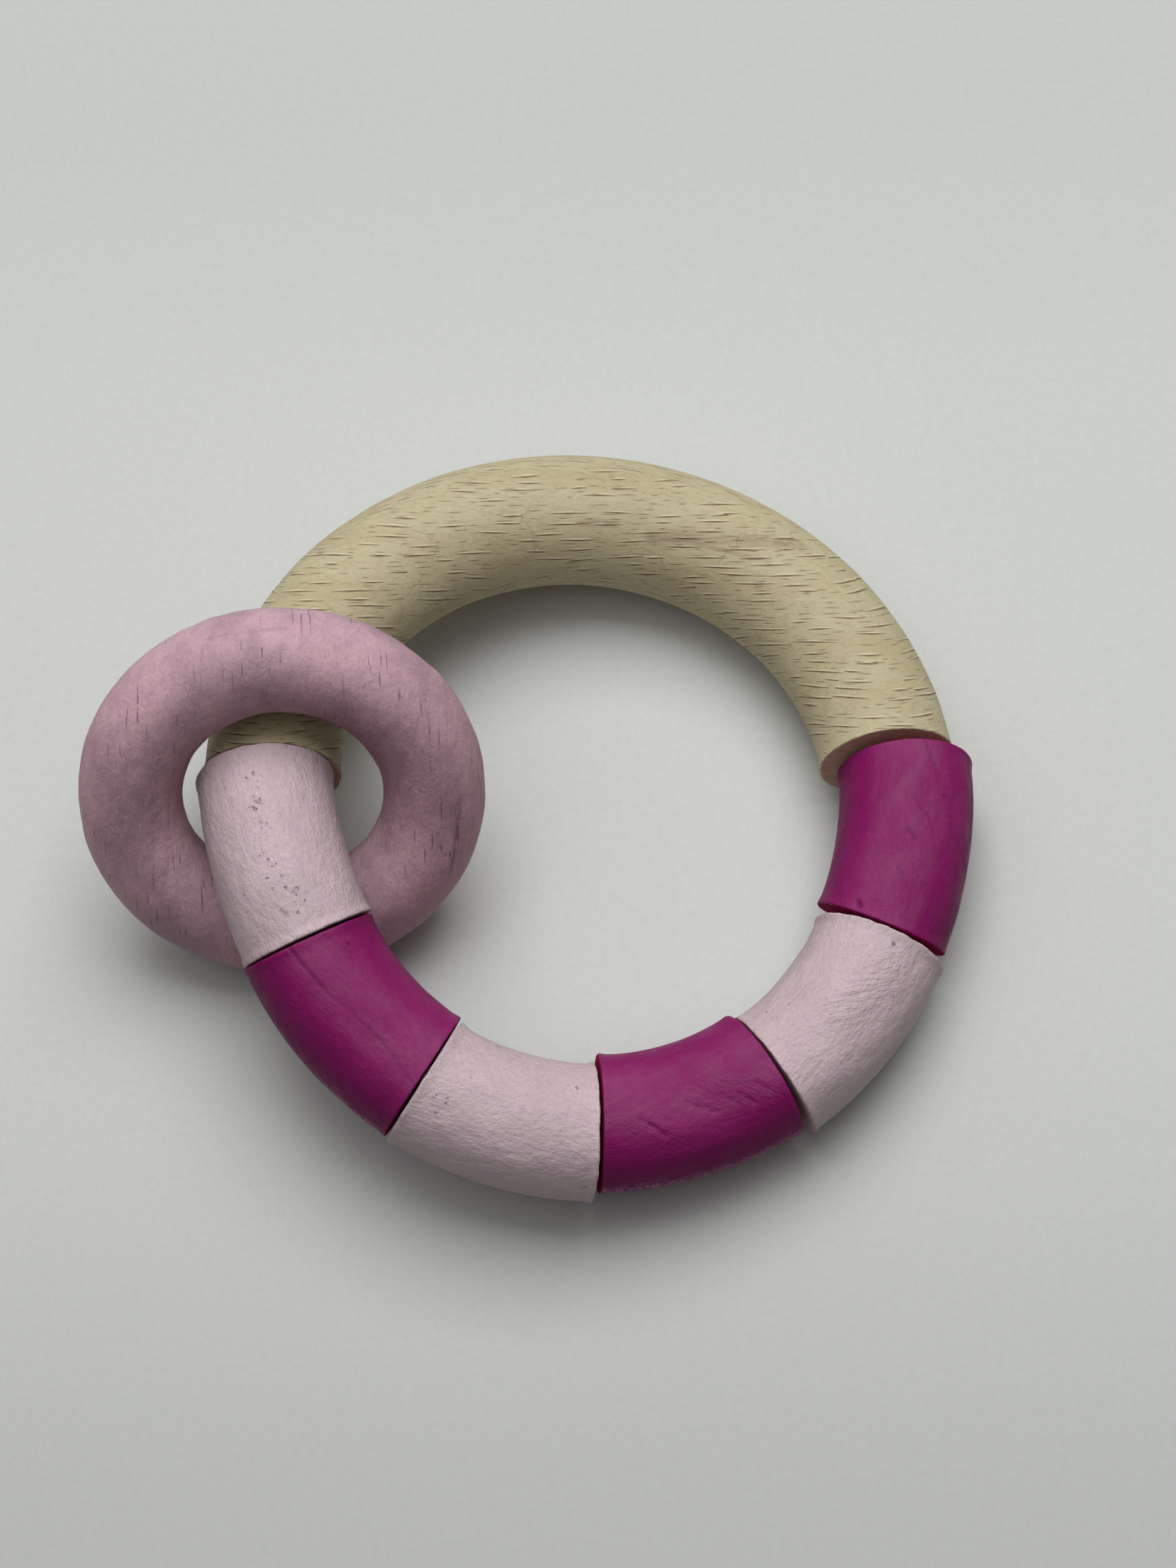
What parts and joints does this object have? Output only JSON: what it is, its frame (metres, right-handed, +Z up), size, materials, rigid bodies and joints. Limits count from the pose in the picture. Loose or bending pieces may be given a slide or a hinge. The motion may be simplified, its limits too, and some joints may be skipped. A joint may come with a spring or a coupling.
{
  "type": "teething rattle",
  "caption": "Wooden touch and teething ring: a curved beech grip and painted wooden pieces threaded on an elastic cord, with a small wooden ring linked round them.",
  "frame": {"origin": "on the table under the middle of the outline, as the toy lies in the picture", "axes": "+X to the right of the picture, +Y away from its camera along the table, +Z up; the beech grip is on the far side"},
  "size_m": [0.1134, 0.1011, 0.0432],
  "materials": {
    "beech": "bare sanded beech, matt",
    "pale_paint": "pale pink stain over the grain, matt",
    "magenta_paint": "magenta stain over the grain, matt",
    "ring_paint": "light pink stain over the grain, matt",
    "elastic": "round white elastic"
  },
  "bodies": {
    "grip": {"beech_half_ring": "beech", "left_end_plug": "beech", "right_end_plug": "beech", "elastic_cord": "elastic"},
    "piece_1": {"segment_1_pale": "pale_paint"},
    "piece_2": {"segment_2_magenta": "magenta_paint"},
    "piece_3": {"segment_3_pale": "pale_paint"},
    "piece_4": {"segment_4_magenta": "magenta_paint"},
    "piece_5": {"segment_5_pale": "pale_paint"},
    "piece_6": {"segment_6_magenta": "magenta_paint"},
    "small_ring": {"small_ring": "ring_paint"}
  },
  "joints": [
    {"name": "piece_1_roll", "type": "hinge", "parent": "grip", "child": "piece_1", "pos_m": [-0.03009, -0.00907, 0.02215], "axis": [0.2732, -0.9607, -0.0501], "range_deg": [-3, 3]},
    {"name": "piece_2_roll", "type": "hinge", "parent": "grip", "child": "piece_2", "pos_m": [-0.02025, -0.02763, 0.0182], "axis": [0.6395, -0.7217, -0.2649], "range_deg": [-3, 3]},
    {"name": "piece_3_roll", "type": "hinge", "parent": "grip", "child": "piece_3", "pos_m": [-0.00266, -0.03907, 0.01325], "axis": [0.9486, -0.2583, -0.1826], "range_deg": [-3, 8]},
    {"name": "piece_4_roll", "type": "hinge", "parent": "grip", "child": "piece_4", "pos_m": [0.01869, -0.0375, 0.0104], "axis": [0.9471, 0.3052, -0.0988], "range_deg": [-4, 12]},
    {"name": "piece_5_roll", "type": "hinge", "parent": "grip", "child": "piece_5", "pos_m": [0.03714, -0.02579, 0.0092], "axis": [0.6278, 0.7783, 0.0086], "range_deg": [-4, 20]},
    {"name": "piece_6_roll", "type": "hinge", "parent": "grip", "child": "piece_6", "pos_m": [0.04605, -0.00444, 0.0091], "axis": [0.1703, 0.9845, 0.0415], "range_deg": [-10, 25]},
    {"name": "small_ring_slide", "type": "hinge", "parent": "grip", "child": "small_ring", "pos_m": [0.0068, 0.0026, 0.01588], "axis": [0.1333, 0.1243, 0.9833], "range_deg": [-150, 0]}
  ]
}
